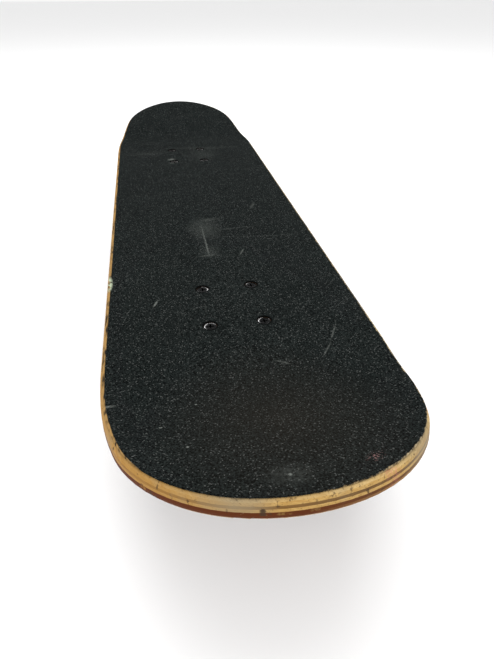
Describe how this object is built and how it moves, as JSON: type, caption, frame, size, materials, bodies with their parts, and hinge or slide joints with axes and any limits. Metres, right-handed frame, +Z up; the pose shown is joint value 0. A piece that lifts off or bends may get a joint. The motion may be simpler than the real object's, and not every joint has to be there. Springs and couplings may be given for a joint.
{
  "type": "skateboard",
  "caption": "Street skateboard: laminated deck with grip tape and upturned ends, sprung steering trucks and free-rolling wheels on ball bearings.",
  "frame": {"origin": "on the ground under the middle of the board, at the bottom centre of its bounding box", "axes": "+X towards the nose, +Y to the left side, +Z up; the board stands on its four wheels"},
  "size_m": [0.8108, 0.197, 0.1307],
  "materials": {
    "maple_veneer": "raw maple, satin",
    "stained_veneer": "dark red-brown stain, satin",
    "grip_grit": "coarse mineral grit",
    "black_steel": "black oxide",
    "zinc_steel": "zinc plated",
    "cast_aluminium": "cast, tumbled",
    "cup_urethane": "matt",
    "bushing_urethane": "satin urethane",
    "wheel_urethane": "cast urethane, satin",
    "bearing_steel": "ground",
    "shield_steel": "black enamel",
    "ball_steel": "polished",
    "cage_nylon": "natural nylon"
  },
  "bodies": {
    "deck": {"ply_1_top": "maple_veneer", "ply_2": "maple_veneer", "ply_3": "maple_veneer", "ply_4": "maple_veneer", "ply_5": "maple_veneer", "ply_6": "maple_veneer", "ply_7_bottom": "stained_veneer", "grip_tape": "grip_grit", "front_deck_bolts": "black_steel", "front_deck_nuts": "zinc_steel", "front_baseplate": "cast_aluminium", "front_pivot_cup": "cup_urethane", "front_kingpin": "zinc_steel", "front_kingpin_nut": "zinc_steel", "front_upper_bushing": "bushing_urethane", "front_upper_washer": "zinc_steel", "front_lower_bushing": "bushing_urethane", "front_lower_washer": "zinc_steel", "rear_deck_bolts": "black_steel", "rear_deck_nuts": "zinc_steel", "rear_baseplate": "cast_aluminium", "rear_pivot_cup": "cup_urethane", "rear_kingpin": "zinc_steel", "rear_kingpin_nut": "zinc_steel", "rear_upper_bushing": "bushing_urethane", "rear_upper_washer": "zinc_steel", "rear_lower_bushing": "bushing_urethane", "rear_lower_washer": "zinc_steel"},
    "front_hanger": {"front_hanger": "cast_aluminium", "front_axle": "zinc_steel", "front_axle_nuts": "zinc_steel", "front_axle_washers": "zinc_steel", "front_bearing_inner_rings": "bearing_steel"},
    "front_left_wheel": {"front_left_wheel": "wheel_urethane", "front_left_bearing_outer_rings": "bearing_steel", "front_left_bearing_shields": "shield_steel"},
    "front_left_ball_set": {"front_left_bearing_balls": "ball_steel", "front_left_bearing_cages": "cage_nylon"},
    "front_right_wheel": {"front_right_wheel": "wheel_urethane", "front_right_bearing_outer_rings": "bearing_steel", "front_right_bearing_shields": "shield_steel"},
    "front_right_ball_set": {"front_right_bearing_balls": "ball_steel", "front_right_bearing_cages": "cage_nylon"},
    "rear_hanger": {"rear_hanger": "cast_aluminium", "rear_axle": "zinc_steel", "rear_axle_nuts": "zinc_steel", "rear_axle_washers": "zinc_steel", "rear_bearing_inner_rings": "bearing_steel"},
    "rear_left_wheel": {"rear_left_wheel": "wheel_urethane", "rear_left_bearing_outer_rings": "bearing_steel", "rear_left_bearing_shields": "shield_steel"},
    "rear_left_ball_set": {"rear_left_bearing_balls": "ball_steel", "rear_left_bearing_cages": "cage_nylon"},
    "rear_right_wheel": {"rear_right_wheel": "wheel_urethane", "rear_right_bearing_outer_rings": "bearing_steel", "rear_right_bearing_shields": "shield_steel"},
    "rear_right_ball_set": {"rear_right_bearing_balls": "ball_steel", "rear_right_bearing_cages": "cage_nylon"}
  },
  "joints": [
    {"name": "front_steer", "type": "hinge", "parent": "deck", "child": "front_hanger", "pos_m": [0.16943, 0, 0.04499], "axis": [0.866, 0, 0.5], "range_deg": [-15, 15], "stiffness_Nm_per_rad": 30, "deforming": ["front_upper_bushing", "front_lower_bushing"]},
    {"name": "front_left_wheel_spin", "type": "hinge", "parent": "front_hanger", "child": "front_left_wheel", "pos_m": [0.19023, 0, 0.026], "axis": [0, 1, 0], "continuous": true},
    {"name": "front_left_ball_roll", "type": "hinge", "parent": "front_hanger", "child": "front_left_ball_set", "pos_m": [0.19023, 0, 0.026], "axis": [0, 1, 0], "continuous": true},
    {"name": "front_right_wheel_spin", "type": "hinge", "parent": "front_hanger", "child": "front_right_wheel", "pos_m": [0.19023, 0, 0.026], "axis": [0, 1, 0], "continuous": true},
    {"name": "front_right_ball_roll", "type": "hinge", "parent": "front_hanger", "child": "front_right_ball_set", "pos_m": [0.19023, 0, 0.026], "axis": [0, 1, 0], "continuous": true},
    {"name": "rear_steer", "type": "hinge", "parent": "deck", "child": "rear_hanger", "pos_m": [-0.19197, 0, 0.04499], "axis": [-0.866, 0, 0.5], "range_deg": [-15, 15], "stiffness_Nm_per_rad": 30, "deforming": ["rear_upper_bushing", "rear_lower_bushing"]},
    {"name": "rear_left_wheel_spin", "type": "hinge", "parent": "rear_hanger", "child": "rear_left_wheel", "pos_m": [-0.21277, 0, 0.026], "axis": [0, 1, 0], "continuous": true},
    {"name": "rear_left_ball_roll", "type": "hinge", "parent": "rear_hanger", "child": "rear_left_ball_set", "pos_m": [-0.21277, 0, 0.026], "axis": [0, 1, 0], "continuous": true},
    {"name": "rear_right_wheel_spin", "type": "hinge", "parent": "rear_hanger", "child": "rear_right_wheel", "pos_m": [-0.21277, 0, 0.026], "axis": [0, 1, 0], "continuous": true},
    {"name": "rear_right_ball_roll", "type": "hinge", "parent": "rear_hanger", "child": "rear_right_ball_set", "pos_m": [-0.21277, 0, 0.026], "axis": [0, 1, 0], "continuous": true}
  ],
  "couplings": [
    {"joint": "front_left_ball_roll", "follows": "front_left_wheel_spin", "ratio": 0.632},
    {"joint": "front_right_ball_roll", "follows": "front_right_wheel_spin", "ratio": 0.632},
    {"joint": "rear_left_ball_roll", "follows": "rear_left_wheel_spin", "ratio": 0.632},
    {"joint": "rear_right_ball_roll", "follows": "rear_right_wheel_spin", "ratio": 0.632}
  ]
}
